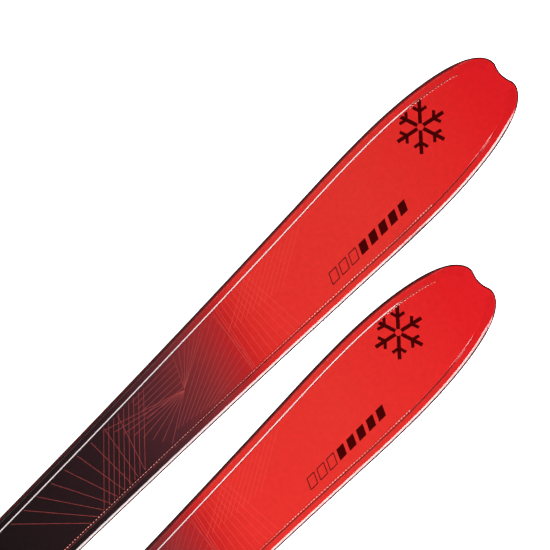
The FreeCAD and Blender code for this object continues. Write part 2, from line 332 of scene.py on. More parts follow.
def noseLean(u, depth, share):
    # the nose is cut square to the curled-up sheet, so its higher layers end a little further back
    angle = runningSurface(u)[1]
    lean = (thickness(u) - depth) * math.sin(max(angle, 0.0)) * layer["noseLean"]
    return lean * share * (1 - smooth((u - 0.02) / 0.03))


def sheetPiece(name, side, mats, topDepth, floorDepth, rings, deepRings, interior, depthAt):
    # a full-width layer: top face on rings that follow the outline, a floor below, and the wall between
    rows = stationList()
    verts, faces, grid, floorGrid, borderInsets = [], [], [], [], []
    rimCount = 2
    reach = 0.0046

    def add(u, y, z, inset=0.02):
        verts.append((u, y, z))
        borderInsets.append(inset)
        return len(verts) - 1

    def ringInset(border, part, lean):
        inset = border + (reach - border) * part
        return inset + lean * (1 - smooth(inset / 0.009))

    for row in rows:
        wall = layer["wallInset"] * easeShare(row)
        borderU = stationPoint(row, wall)[0]
        crest = bevelCrest(borderU, wall)
        border = max(wall, crest - bevelRun(floorDepth))
        forward = forwardShare(row)
        lean = noseLean(borderU, topDepth, forward)
        insets = [(border + (reach - border) * part, ringInset(border, part, lean)) for part in rings]
        insets += [(inset, inset) for inset in deepRings]
        left = [(*stationPoint(row, moved), inset) for inset, moved in insets]
        deepU, deepY = left[-1][0], left[-1][1]
        line = [add(u, y, underTop(u, depthAt(inset, crest, u, topDepth)), inset) for u, y, inset in left]
        for step in range(1, interior):
            line.append(add(deepU, deepY * (1 - 2 * step / interior), underTop(deepU, topDepth)))
        line += [add(u, -y, underTop(u, depthAt(inset, crest, u, topDepth)), inset)
                 for u, y, inset in reversed(left)]
        grid.append(line)
        footU, footY = stationPoint(row, border + noseLean(borderU, floorDepth, forward))
        floorGrid.append([add(footU, footY, underTop(footU, floorDepth)),
                          add(deepU, deepY, underTop(deepU, floorDepth)),
                          add(deepU, -deepY, underTop(deepU, floorDepth)),
                          add(footU, -footY, underTop(footU, floorDepth))])
    # the last row again, straight across where the tail protector begins
    endU = ski["protectorFrom"]
    shiftToEnd = lambda index: add(endU, verts[index][1], verts[index][2]
                                   + underTop(endU, 0.0) - underTop(verts[index][0], 0.0))
    grid.append([shiftToEnd(index) for index in grid[-1]])
    floorGrid.append([shiftToEnd(index) for index in floorGrid[-1]])
    for lines in (grid, floorGrid):
        for a, b in zip(lines, lines[1:]):
            for i in range(len(a) - 1):
                faces.append((a[i], a[i + 1], b[i + 1], b[i]))

    # nose: a rim along the front curve, then rows that fan from the first row to the rim
    firstRow = grid[0]
    columns = firstRow[rimCount:-rimCount]
    front = makeNoseFront(len(columns))
    normals = inwardNormals(front)
    wall = layer["wallInset"] * easeShare(rows[0])
    crest = bevelCrest(0.0, wall)
    ringLines = []
    for ring in range(rimCount + 1):
        plain = wall + (reach - wall) * rings[ring]
        line = [firstRow[ring]]
        for (u, y), (nu, ny) in list(zip(front, normals))[1:-1]:
            inset = ringInset(wall, rings[ring], noseLean(u, topDepth, max(nu, 0.0)))
            pu, py = u + nu * inset, y + ny * inset
            line.append(add(pu, py, underTop(pu, depthAt(plain, crest, pu, topDepth))))
        line.append(firstRow[-1 - ring])
        ringLines.append(line)
    for a, b in zip(ringLines, ringLines[1:]):
        for i in range(len(a) - 1):
            faces.append((a[i + 1], a[i], b[i], b[i + 1]))
    steps = 9
    previous = columns
    for step in range(1, steps + 1):
        t = step / steps
        line = []
        for i in range(len(columns)):
            if step == steps or i in (0, len(columns) - 1):
                line.append(ringLines[-1][i])
                continue
            a, b = verts[columns[i]], verts[ringLines[-1][i]]
            u, y = a[0] + (b[0] - a[0]) * t, a[1] + (b[1] - a[1]) * t
            line.append(add(u, y, underTop(u, topDepth)))
        for i in range(len(columns) - 1):
            corners = tuple(dict.fromkeys((previous[i + 1], previous[i], line[i], line[i + 1])))
            if len(corners) > 2:
                faces.append(corners)
        previous = line

    # nose floor and the walls all round
    footLine = [floorGrid[0][0]]
    for (u, y), (nu, ny) in list(zip(front, normals))[1:-1]:
        inset = wall + noseLean(u, floorDepth, max(nu, 0.0))
        pu, py = u + nu * inset, y + ny * inset
        footLine.append(add(pu, py, underTop(pu, floorDepth)))
    footLine.append(floorGrid[0][3])
    middle = len(footLine) // 2
    deepLeft, deepRight = floorGrid[0][1], floorGrid[0][2]
    for i in range(middle):
        faces.append((footLine[i], footLine[i + 1], deepLeft))
    faces.append((footLine[middle], deepRight, deepLeft))
    for i in range(middle, len(footLine) - 1):
        faces.append((footLine[i], footLine[i + 1], deepRight))
    for i in range(len(footLine) - 1):
        faces.append((ringLines[0][i], ringLines[0][i + 1], footLine[i + 1], footLine[i]))
    for a, b, c, d in zip(grid, grid[1:], floorGrid, floorGrid[1:]):
        faces.append((a[0], b[0], d[0], c[0]))
        faces.append((a[-1], b[-1], d[-1], c[-1]))
    last = floorGrid[-1]
    faces.append(tuple(grid[-1] + [last[3], last[2], last[1], last[0]]))
    # faces between the border and the groove take the second, glossier finish where there is one
    glossy = [int(len(mats) > 1 and min(borderInsets[i] for i in face) < layer["glossyBorder"])
              for face in faces]
    return newPiece(name, verts, faces, side, mats, matIndex=glossy, insets=borderInsets)


def railPiece(name, side, hand, mats, span, section, stepLong=0.005):
    # a closed bar along one border; section(row) gives (inset, z) corners in order
    verts, faces, count = [], [], 0
    used = []
    for row in stationList(stepLong):
        u = stationPoint(row, 0.0)[0]
        if span[0] - 1e-9 <= u <= span[1] + 1e-9:
            used.append(row)
    for row in used:
        corners = section(row)
        count = len(corners)
        for inset, level in corners:
            u, y = stationPoint(row, inset)
            verts.append((u, y * hand, level(u)))
    for k in range(len(used) - 1):
        for i in range(count):
            j = (i + 1) % count
            faces.append((k * count + i, k * count + j, (k + 1) * count + j, (k + 1) * count + i))
    faces.append(tuple(range(count)))
    faces.append(tuple((len(used) - 1) * count + i for i in range(count)))
    return newPiece(name, verts, faces, side, mats)


# ---- materials: most patterns read the "along" map, in metres along and across the ski; the running base, the honeycomb core, the wood, the rubber, the spacer and the alloy plate read object coordinates

def newMaterial(name, color, roughness, metallic=0.0, coat=0.0, coatRoughness=0.1):
    mat = bpy.data.materials.new(name)
    mat.use_nodes = True
    tree = mat.node_tree
    shader = tree.nodes["Principled BSDF"]
    shader.inputs["Base Color"].default_value = (*color, 1)
    shader.inputs["Roughness"].default_value = roughness
    shader.inputs["Metallic"].default_value = metallic
    shader.inputs["Coat Weight"].default_value = coat
    shader.inputs["Coat Roughness"].default_value = coatRoughness
    return mat, tree, shader


def node(tree, kind, inputs=None, **settings):
    made = tree.nodes.new(kind)
    for key, value in settings.items():
        setattr(made, key, value)
    for key, value in (inputs or {}).items():
        if isinstance(value, bpy.types.NodeSocket):
            tree.links.new(value, made.inputs[key])
        else:
            made.inputs[key].default_value = value
    return made


def alongMap(tree):
    uv = node(tree, "ShaderNodeUVMap", uv_map="along")
    return uv.outputs["UV"]


def mathNode(tree, kind, a, b=0.0, c=0.0, clamp=False):
    made = node(tree, "ShaderNodeMath", operation=kind, use_clamp=clamp)
    for index, value in enumerate((a, b, c)):
        if isinstance(value, bpy.types.NodeSocket):
            tree.links.new(value, made.inputs[index])
        else:
            made.inputs[index].default_value = value
    return made.outputs[0]


def ramp(tree, fac, stops, interpolation="LINEAR"):
    made = node(tree, "ShaderNodeValToRGB", {"Fac": fac})
    band = made.color_ramp
    band.interpolation = interpolation
    while len(band.elements) > 1:
        band.elements.remove(band.elements[-1])
    band.elements[0].position = stops[0][0]
    band.elements[0].color = (*stops[0][1], 1)
    for place, color in stops[1:]:
        element = band.elements.new(place)
        element.color = (*color, 1)
    return made.outputs["Color"]


def mixColor(tree, fac, a, b, kind="MIX"):
    made = node(tree, "ShaderNodeMix", data_type="RGBA", blend_type=kind)
    for socket, value in (("Factor_Float", fac), ("A_Color", a), ("B_Color", b)):
        target = next(s for s in made.inputs if s.identifier == socket)
        if isinstance(value, bpy.types.NodeSocket):
            tree.links.new(value, target)
        else:
            target.default_value = value if socket == "Factor_Float" else (*value, 1)
    return next(s for s in made.outputs if s.identifier == "Result_Color")


def weave(tree, uv, pitch, turn):
    # crossed diagonal threads, from 0 to 1
    places = node(tree, "ShaderNodeMapping", {"Vector": uv, "Rotation": (0, 0, math.radians(turn))})
    parts = node(tree, "ShaderNodeSeparateXYZ", {"Vector": places.outputs["Vector"]})
    scale = 2 * math.pi / pitch
    a = mathNode(tree, "SINE", mathNode(tree, "MULTIPLY", parts.outputs["X"], scale))
    b = mathNode(tree, "SINE", mathNode(tree, "MULTIPLY", parts.outputs["Y"], scale))
    return mathNode(tree, "MULTIPLY_ADD", mathNode(tree, "MULTIPLY", a, b), 0.5, 0.5)


def noise(tree, uv, scale, detail=3.0, stretch=(1, 1, 1), roughness=0.5):
    places = node(tree, "ShaderNodeMapping", {"Vector": uv, "Scale": stretch})
    made = node(tree, "ShaderNodeTexNoise", {"Vector": places.outputs["Vector"], "Scale": scale,
                                              "Detail": detail, "Roughness": roughness})
    return made.outputs["Fac"]


def bump(tree, shader, height, distance, strength=1.0):
    made = node(tree, "ShaderNodeBump", {"Height": height, "Distance": distance, "Strength": strength})
    tree.links.new(made.outputs["Normal"], shader.inputs["Normal"])
    return made


def srgb(r, g, b, light=1.0):
    # a colour as it should look under the studio's light
    def linear(value):
        value /= 255
        return value / 12.92 if value <= 0.04045 else ((value + 0.055) / 1.055) ** 2.4
    return tuple(max(linear(v) - studio["haze"], 0.0015) / light for v in (r, g, b))


studio = {
    "light": 2.2,                # brightness of a white surface that faces up
    "haze": 0.009,               # what the varnish adds to every colour
    "keyPower": 300.0, "keySize": (5.2, 0.95), "keyHeight": 1.6, "keyAway": 2.1,
    "endPower": 60.0, "endSize": 1.6,
    "lowPower": 30.0,
    "farPower": 30.0,
    "tipPower": 10.0,
    "world": 0.05,
    "floorGlow": 1.06, "floorHalf": 40.0,
    "middle": (0.35, 0.0, 0.02),
}

sheetLook = {
    "flatCoat": 0.06, "flatCoatRoughness": 0.4,     # duller varnish on the flat zone inside the grooves
    # colour of the print by distance behind the tip: red shovel, dark waist, red tail; the deeper red of the
    # first stops over the curled tip is painted shade, standing in for the sheen it catches less of
    "stops": [(0.000, (219, 30, 36)), (0.040, (220, 34, 37)), (0.100, (221, 44, 42)),
              (0.200, (223, 53, 47)), (0.345, (226, 52, 47)), (0.372, (216, 47, 43)),
              (0.385, (207, 43, 41)), (0.401, (186, 39, 41)), (0.417, (168, 43, 45)),
              (0.433, (150, 46, 48)), (0.448, (130, 46, 50)), (0.464, (114, 46, 48)),
              (0.480, (100, 44, 48)), (0.500, (82, 42, 47)), (0.560, (50, 33, 36)),
              (0.760, (30, 24, 26)), (1.180, (30, 24, 26)), (1.340, (60, 32, 36)),
              (1.400, (110, 38, 42)), (1.450, (176, 40, 40)), (1.500, (215, 48, 44)),
              (1.700, (220, 44, 42))],
    "weavePitch": 0.0021, "weaveTurn": 38, "weaveDeep": 0.00003,
    "roughness": 0.4, "specular": 0.08, "coat": 0.9, "coatRoughness": 0.06,
    # how much of the print's brightness hangs on each texture, over a fixed part
    "threadShade": 0.22, "mottleShade": 0.32, "grainShade": 0.20, "fixedShade": 0.62,
    # shade painted along the groove: its middle and half width from the border, and where it fades in
    "grooveShadeAt": 0.0102, "grooveShadeHalf": 0.0011, "grooveShade": 0.9,
    "grooveShadeColor": (0.05, 0.002, 0.003), "grooveShadeFrom": 0.040, "grooveShadeRun": 0.060,
}


def makeSheetMaterial(name, coat, coatRoughness):
    mat, tree, shader = newMaterial(name, (0.5, 0.02, 0.02), sheetLook["roughness"],
                                    coat=coat, coatRoughness=coatRoughness)
    shader.inputs["Specular IOR Level"].default_value = sheetLook["specular"]
    uv = alongMap(tree)
    parts = node(tree, "ShaderNodeSeparateXYZ", {"Vector": uv})
    u, y = parts.outputs["X"], parts.outputs["Y"]
    # the left side turns dark a little sooner, and the change is a little uneven
    cloud = noise(tree, uv, 26.0, 3.0, (0.5, 1.0, 1.0))
    lean = mathNode(tree, "MULTIPLY", y, 0.22)
    wander = mathNode(tree, "MULTIPLY", mathNode(tree, "SUBTRACT", cloud, 0.5), 0.016)
    shifted = mathNode(tree, "ADD", mathNode(tree, "ADD", u, lean), wander)
    place = mathNode(tree, "DIVIDE", shifted, ski["length"])
    color = ramp(tree, place, [(at / ski["length"], srgb(*rgb, light=studio["light"]))
                               for at, rgb in sheetLook["stops"]])
    threads = weave(tree, uv, sheetLook["weavePitch"], sheetLook["weaveTurn"])
    grain = noise(tree, uv, 900.0, 2.0)
    mottle = noise(tree, uv, 190.0, 4.0, (1.0, 1.0, 1.0), 0.6)
    shade = mathNode(tree, "ADD", mathNode(tree, "MULTIPLY", threads, sheetLook["threadShade"]),
                     mathNode(tree, "MULTIPLY", mottle, sheetLook["mottleShade"]))
    shade = mathNode(tree, "ADD", shade, mathNode(tree, "MULTIPLY", grain, sheetLook["grainShade"]))
    shade = mathNode(tree, "ADD", shade, sheetLook["fixedShade"])
    shaded = mixColor(tree, 1.0, color, node(tree, "ShaderNodeCombineXYZ",
                      {"X": shade, "Y": shade, "Z": shade}).outputs["Vector"], "MULTIPLY")
    # painted shade: the colour is darkened along the groove's outer wall, where it faces away from the key
    # light
    border = node(tree, "ShaderNodeAttribute", attribute_name="borderInset").outputs["Fac"]
    away = mathNode(tree, "ABSOLUTE", mathNode(tree, "SUBTRACT", border, sheetLook["grooveShadeAt"]))
    away = mathNode(tree, "DIVIDE", away, sheetLook["grooveShadeHalf"])
    paintedGrooveShade = mathNode(tree, "SUBTRACT", 1.0, away, clamp=True)
    fade = mathNode(tree, "DIVIDE", mathNode(tree, "SUBTRACT", u, sheetLook["grooveShadeFrom"]),
                    sheetLook["grooveShadeRun"], clamp=True)
    paintedGrooveShade = mathNode(tree, "MULTIPLY", mathNode(tree, "MULTIPLY", paintedGrooveShade, fade),
                         sheetLook["grooveShade"])
    shaded = mixColor(tree, paintedGrooveShade, shaded, sheetLook["grooveShadeColor"])
    tree.links.new(shaded, shader.inputs["Base Color"])
    rough = mathNode(tree, "MULTIPLY_ADD", mottle, 0.12, sheetLook["roughness"] - 0.06)
    tree.links.new(rough, shader.inputs["Roughness"])
    height = mathNode(tree, "ADD", threads, mathNode(tree, "MULTIPLY", mottle, 0.5))
    made = bump(tree, shader, height, sheetLook["weaveDeep"], 0.6)
    tree.links.new(made.outputs["Normal"], shader.inputs["Coat Normal"])
    return mat


def makePlainMaterial(name, rgb, roughness, metallic=0.0, coat=0.0, scale=400.0, stretch=(1, 1, 1),
                      vary=0.25, deep=0.00002, coordinates="along", specular=0.5, coatRoughness=0.06):
    # one base colour broken up by grain, for everything that is not printed
    light = 1.0 if metallic else studio["light"]
    mat, tree, shader = newMaterial(name, srgb(*rgb, light=light), roughness, metallic, coat, coatRoughness)
    shader.inputs["Specular IOR Level"].default_value = specular
    if coordinates == "along":
        vector = alongMap(tree)
    else:
        vector = node(tree, "ShaderNodeTexCoord").outputs["Object"]
    fine = noise(tree, vector, scale, 3.0, stretch)
    coarse = noise(tree, vector, 14.0, 2.0)
    base = srgb(*rgb, light=light)
    dark = tuple(v * (1 - vary) for v in base)
    pale = tuple(min(v * (1 + vary), 1) for v in base)
    blend = mathNode(tree, "MULTIPLY_ADD", fine, 0.7, mathNode(tree, "MULTIPLY", coarse, 0.3))
    color = ramp(tree, blend, [(0.3, dark), (0.7, pale)])
    tree.links.new(color, shader.inputs["Base Color"])
    rough = mathNode(tree, "MULTIPLY_ADD", fine, 0.16, roughness - 0.08)
    tree.links.new(rough, shader.inputs["Roughness"])
    bump(tree, shader, fine, deep, 0.7)
    return mat


finishes = {
    "sheet": makeSheetMaterial("printed sheet with painted shade", sheetLook["flatCoat"], sheetLook["flatCoatRoughness"]),
    "sheetBorder": makeSheetMaterial("glossy sheet border with painted shade", sheetLook["coat"], sheetLook["coatRoughness"]),
    "mark": makePlainMaterial("dark ink", (72, 4, 6), 0.6, scale=900.0, vary=0.15, specular=0.0),
    "outlineInk": makePlainMaterial("maroon ink", (112, 8, 12), 0.5, coat=0.2, scale=900.0, vary=0.15,
                                    specular=0.1),
    "line": makePlainMaterial("pale red ink", (168, 66, 66), 0.5, coat=0.5, scale=900.0, vary=0.15,
                              specular=0.2),
    "faintLine": makePlainMaterial("faint red ink", (234, 74, 64), 0.5, coat=0.5, scale=900.0, vary=0.1,
                                   specular=0.2),
    # the beads' pale pink is a painted highlight: the small bumps alone catch too little of the key light's
    # glint
    "bead": makePlainMaterial("bead painted highlight", (244, 132, 118), 0.35, coat=1.0, scale=900.0, vary=0.1,
                              specular=0.2),
    "laminate": makePlainMaterial("glass laminate", (132, 14, 18), 0.5, coat=1.0, scale=900.0,
                                  stretch=(0.1, 1, 1), specular=0.2, deep=0.000004),
    "wall": makePlainMaterial("black sidewall", (34, 8, 10), 0.4, coat=1.0, scale=700.0,
                              stretch=(0.06, 1, 1), specular=0.2, deep=0.000004),
    "steel": makePlainMaterial("ground steel", (100, 100, 104), 0.25, 1.0, scale=2400.0,
                               stretch=(0.04, 1, 1), vary=0.18, deep=0.000008),
    "alloy": makePlainMaterial("brushed alloy", (146, 148, 152), 0.34, 1.0, scale=1800.0,
                               stretch=(1, 0.05, 1), vary=0.16, deep=0.00001),
    "rubber": makePlainMaterial("black rubber", (26, 26, 27), 0.7, scale=600.0, coordinates="Object"),
    "wood": makePlainMaterial("beech strip", (196, 156, 108), 0.6, scale=260.0, stretch=(0.05, 1, 1),
                              coordinates="Object"),
    "blockWood": makePlainMaterial("ash block", (206, 172, 122), 0.6, scale=200.0, stretch=(0.05, 1, 1),
                                   coordinates="Object"),
    "spacer": makePlainMaterial("filled spacer", (40, 6, 8), 0.5, scale=500.0, coordinates="Object",
                                specular=0.2),
}


def makeBaseMaterial():
    # sintered black running base with the fine straight lines left by stone grinding
    mat, tree, shader = newMaterial("running base", srgb(40, 40, 43, light=studio["light"]), 0.42)
    vector = node(tree, "ShaderNodeTexCoord").outputs["Object"]
    parts = node(tree, "ShaderNodeSeparateXYZ", {"Vector": vector})
    lines = mathNode(tree, "SINE", mathNode(tree, "MULTIPLY", parts.outputs["Y"], 2 * math.pi / 0.0012))
    streak = noise(tree, vector, 700.0, 3.0, (0.02, 1, 1))
    cloud = noise(tree, vector, 18.0, 3.0)
    color = ramp(tree, mathNode(tree, "MULTIPLY_ADD", streak, 0.6, mathNode(tree, "MULTIPLY", cloud, 0.4)),
                 [(0.3, srgb(34, 34, 37, light=studio["light"])),
                  (0.7, srgb(58, 58, 62, light=studio["light"]))])
    tree.links.new(color, shader.inputs["Base Color"])
    tree.links.new(mathNode(tree, "MULTIPLY_ADD", streak, 0.25, 0.3), shader.inputs["Roughness"])
    bump(tree, shader, mathNode(tree, "ADD", lines, mathNode(tree, "MULTIPLY", streak, 1.5)), 0.00002, 0.6)
    return mat


def makeHoneycombMaterial():
    mat, tree, shader = newMaterial("honeycomb core", srgb(190, 176, 140, light=studio["light"]), 0.7)
    vector = node(tree, "ShaderNodeTexCoord").outputs["Object"]
    cells = node(tree, "ShaderNodeTexVoronoi", {"Vector": vector, "Scale": 240.0, "Randomness": 0.15},
                 feature="DISTANCE_TO_EDGE")
    color = ramp(tree, cells.outputs["Distance"], [(0.0, srgb(206, 190, 150, light=studio["light"])),
                                                   (0.12, srgb(92, 80, 58, light=studio["light"]))])
    tree.links.new(color, shader.inputs["Base Color"])
    bump(tree, shader, cells.outputs["Distance"], 0.0004)
    return mat


finishes["base"] = makeBaseMaterial()
finishes["honeycomb"] = makeHoneycombMaterial()
print("materials made:", len(finishes))


# ---- top sheet: grooved and bevelled

sheetShape = {
    "rings": [0.0, 0.05, 0.14, 0.32, 0.5, 0.62, 0.70, 0.78, 0.88, 1.0],
    "deepRings": [0.0050, 0.0056, 0.0075, 0.0092, 0.0096, 0.0098, 0.0104, 0.0109, 0.0111, 0.0112,
                  0.0114, 0.0116, 0.0118, 0.0126, 0.0140],
    "interior": 8,
    "grooveAt": 0.0111, "grooveOuter": 0.00150, "grooveInner": 0.0005, "grooveDeep": 0.00068,
    "grooveFrom": (0.020, 0.110), "grooveTo": (1.640, 1.672),
    "rounding": 0.00018,
}


def sheetDepth(inset, crest, u, topDepth):
    # depth of the top face: soft crest of the bevel, then the groove
    soft = sheetShape["rounding"]
    way = (crest - inset) / soft
    run = soft * math.log1p(math.exp(way)) if way < 40 else crest - inset
    bevel = min(bevelDepth(run), layer["sheet"]) if inset < 0.0056 else 0.0
    (fadeStart, fullStart), (fullEnd, fadeEnd) = sheetShape["grooveFrom"], sheetShape["grooveTo"]
    share = smooth((u - fadeStart) / (fullStart - fadeStart))
    share *= 1 - smooth((u - fullEnd) / (fadeEnd - fullEnd))
    away = inset - sheetShape["grooveAt"]
    away = away / sheetShape["grooveInner"] if away > 0 else -away / sheetShape["grooveOuter"]
    groove = sheetShape["grooveDeep"] * max(1 - away, 0.0) * share
    return bevel + groove + topDepth


def laminateDepth(inset, crest, u, topDepth):
    return min(max(bevelDepth(max(crest - inset, 0.0)), topDepth), layer["laminate"])


def dress(piece, side, slotName, *nodes):
    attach(piece, bodies[side])
    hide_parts(*[side + "_" + name for name in nodes])
    return piece


for side in ("left", "right"):
    sheet = sheetPiece(side + "_sheet", side, [finishes["sheet"], finishes["sheetBorder"]],
                       0.0, layer["sheet"], sheetShape["rings"], sheetShape["deepRings"],
                       sheetShape["interior"], sheetDepth)
    creaseByAngle(sheet, 50)
    dress(sheet, side, "top_sheet", "top_sheet")
    laminate = sheetPiece(side + "_upper_glass", side, [finishes["laminate"]],
                          layer["sheet"], layer["laminate"],
                          [0.0, 0.2, 0.4, 0.5, 0.6, 0.7, 0.8, 1.0], [0.0060], 4, laminateDepth)
    creaseByAngle(laminate, 20)
    dress(laminate, side, "glass_laminate", "upper_laminate")
print("top sheets made")


# ---- sidewalls and steel edges

edgeShape = {"width": 0.0020, "flange": 0.0070, "corner": 0.00025}


def wallSection(row):
    wall = layer["wallInset"] * easeShare(row)
    crest = bevelCrest(stationPoint(row, wall)[0], wall)
    depth = layer["laminate"]
    corner = max(bevelDepth(crest - wall), depth + 1e-6)   # where the bevel meets the upright wall
    meet = max(crest - bevelRun(depth), wall)              # where it meets the laminate
    under = lambda at: overBase(at, layer["stackTop"])
    return [(wall, under), (wall, lambda at: underTop(at, corner)), (meet, lambda at: underTop(at, depth)),
            (0.0090, lambda at: underTop(at, depth)), (0.0090, under)]


def edgeSection(row):
    width, flange, corner = edgeShape["width"], edgeShape["flange"], edgeShape["corner"]
    height = lambda level: (lambda at: overBase(at, level))
    return [(corner, height(0.0)), (0.0, height(corner)), (0.0, height(layer["edgeTop"] - corner)),
            (corner, height(layer["edgeTop"])), (flange, height(layer["edgeTop"])),
            (flange, height(layer["base"])), (width, height(layer["base"])), (width, height(0.0))]


def damperSection(row):
    wall = layer["wallInset"] * easeShare(row)
    low = lambda at: overBase(at, layer["edgeTop"])
    high = lambda at: overBase(at, layer["stackTop"])
    return [(wall, low), (wall, high), (edgeShape["flange"], high), (edgeShape["flange"], low)]


for side in ("left", "right"):
    for hand, word in zip((1, -1), sideNames[side]):
        wall = railPiece(side + "_" + word + "_wall", side, hand, [finishes["wall"]], layer["wallSpan"],
                         wallSection)
        creaseByAngle(wall, 20)
        dress(wall, side, "sidewall", word + "_sidewall")
        edge = railPiece(side + "_" + word + "_edge", side, hand, [finishes["steel"]], layer["edgeSpan"],
                         edgeSection)
        creaseByAngle(edge, 30)
        dress(edge, side, "edge_steel", word + "_steel_edge")
        damper = railPiece(side + "_" + word + "_damper", side, hand, [finishes["rubber"]],
                           layer["edgeSpan"], damperSection)
        creaseByAngle(damper, 30)
        dress(damper, side, "rubber", word + "_edge_damper")
print("sidewalls and edges made")


# ---- print on the sheet: ribbons along straight paths laid on the curved top, by Geometry Nodes

def layLine(start, end, step=0.008):
    count = max(2, round(math.dist(start, end) / step))
    return [(start[0] + (end[0] - start[0]) * i / count, start[1] + (end[1] - start[1]) * i / count)
            for i in range(count + 1)]


def ribbonTree(name):
    # straight ribbon of constant width along each chain of edges, flat on the sheet
    tree = bpy.data.node_groups.new(name, "GeometryNodeTree")
    face = tree.interface
    face.new_socket("Paths", in_out="INPUT", socket_type="NodeSocketGeometry")
    width = face.new_socket("Ribbon Width", in_out="INPUT", socket_type="NodeSocketFloat")
    ink = face.new_socket("Ink", in_out="INPUT", socket_type="NodeSocketMaterial")
    face.new_socket("Ribbons", in_out="OUTPUT", socket_type="NodeSocketGeometry")
    start = node(tree, "NodeGroupInput")
    paths = node(tree, "GeometryNodeMeshToCurve", {"Mesh": start.outputs["Paths"]})
    upright = node(tree, "GeometryNodeSetCurveNormal", {"Curve": paths.outputs["Curve"]}, mode="Z_UP")
    profile = node(tree, "GeometryNodeCurvePrimitiveLine")
    half = node(tree, "ShaderNodeMath", {0: start.outputs["Ribbon Width"], 1: 0.5}, operation="MULTIPLY")
    back = node(tree, "ShaderNodeMath", {0: half.outputs[0], 1: -1.0}, operation="MULTIPLY")
    low = node(tree, "ShaderNodeCombineXYZ", {"X": back.outputs[0]})
    high = node(tree, "ShaderNodeCombineXYZ", {"X": half.outputs[0]})
    tree.links.new(low.outputs[0], profile.inputs["Start"])
    tree.links.new(high.outputs[0], profile.inputs["End"])
    flat = node(tree, "GeometryNodeCurveToMesh", {"Curve": upright.outputs["Curve"],
                                                   "Profile Curve": profile.outputs["Curve"]})
    real = node(tree, "GeometryNodeRealizeInstances", {"Geometry": flat.outputs["Mesh"]})
    painted = node(tree, "GeometryNodeSetMaterial", {"Geometry": real.outputs["Geometry"],
                                                      "Material": start.outputs["Ink"]})
    end = node(tree, "NodeGroupOutput")
    tree.links.new(painted.outputs["Geometry"], end.inputs["Ribbons"])
    return tree, {"Ribbon Width": width.identifier, "Ink": ink.identifier}


def applyNodes(host, tree, values):
    # run the tree, keep its result as a plain mesh at the origin
    modifier = host.modifiers.new("build", "NODES")
    modifier.node_group = tree
    for key, value in values.items():
        modifier[key] = value
    bpy.context.view_layer.update()
    graph = bpy.context.evaluated_depsgraph_get()
    mesh = bpy.data.meshes.new_from_object(host.evaluated_get(graph))
    host.modifiers.remove(modifier)
    old = host.data
    host.data = mesh
    bpy.data.meshes.remove(old)
    return host


def pathHost(name, side, chains, lift):
    verts, edges = [], []
    for chain in chains:
        for i, (u, y) in enumerate(chain):
            if i:
                edges.append((len(verts) - 1, len(verts)))
            verts.append((tipX[side] - u, centreY[side] + y, underTop(u, 0.0) + lift))
    mesh = bpy.data.meshes.new(name)
    mesh.from_pydata(verts, edges, [])
    host = bpy.data.objects.new(name, mesh)
    bpy.context.scene.collection.objects.link(host)
    return host


def addAlongMap(piece, side):
    # the same map as the sheet's, and faces turned upwards
    mesh = piece.data
    while mesh.uv_layers:
        mesh.uv_layers.remove(mesh.uv_layers[0])
    work = bmesh.new()
    work.from_mesh(mesh)
    bmesh.ops.remove_doubles(work, verts=work.verts, dist=1e-7)
    low = [f for f in work.faces if f.normal.z < 0]
    bmesh.ops.reverse_faces(work, faces=low)
    work.to_mesh(mesh)
    work.free()
    uvLayer = mesh.uv_layers.new(name="along")
    for loop in mesh.loops:
        place = mesh.vertices[loop.vertex_index].co
        uvLayer.data[loop.index].uv = (tipX[side] - place.x, place.y - centreY[side])
    return piece


def between(a, b, count):
    return [(a[0] + (b[0] - a[0]) * i / (count - 1), a[1] + (b[1] - a[1]) * i / (count - 1))
            for i in range(count)]


lineArt = {
    "width": 0.00042, "faintWidth": 0.00036, "lift": 0.00002,
    # each fan joins points spread along one line to points spread along another, in order
    "fans": [
        ((0.404, 0.0350), (0.455, 0.0332), (0.4705, 0.0008), (0.4708, 0.0002), 7),
        ((0.396, 0.0340), (0.3995, -0.0240), (0.505, -0.0240), (0.460, -0.0322), 9),
        ((0.457, 0.0305), (0.470, 0.0030), (0.520, 0.0300), (0.520, 0.0060), 6),
        ((0.471, 0.0000), (0.4712, 0.0000), (0.520, -0.0310), (0.560, 0.0290), 8),
        ((0.500, 0.0322), (0.560, 0.0312), (0.560, -0.0308), (0.620, -0.0298), 9),
        ((0.560, -0.0308), (0.640, -0.0296), (0.540, 0.0308), (0.700, 0.0288), 9),
    ],
    "bounds": [[(0.3956, 0.0352), (0.399, -0.0197), (0.406, -0.0355)]],
    "faintFans": [
        ((0.341, 0.0375), (0.386, 0.0364), (0.336, -0.0372), (0.401, -0.0354), 9),
        ((0.389, 0.0362), (0.393, 0.0360), (0.403, -0.0354), (0.405, -0.0353), 2),
        ((0.262, 0.0385), (0.345, 0.0374), (0.322, 0.0040), (0.396, 0.0100), 10),
    ],
}


def fanChains(fans):
    chains = []
    for a, b, c, d, count in fans:
        for start, end in zip(between(a, b, count), between(c, d, count)):
            chains.append(layLine(start, end))
    return chains


def mirroredTail(chains):
    # the same figure again ahead of the tail, the other way round
    return [[(1.800 - u, -y) for u, y in chain] for chain in chains]


def layRibbons(name, side, chains, width, lift, ink):
    host = pathHost(name, side, chains, lift)
    tree, ids = ribbonTree("ribbons on a sheet")
    applyNodes(host, tree, {ids["Ribbon Width"]: width, ids["Ink"]: ink})
    addAlongMap(host, side)
    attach(host, bodies[side])
    return host


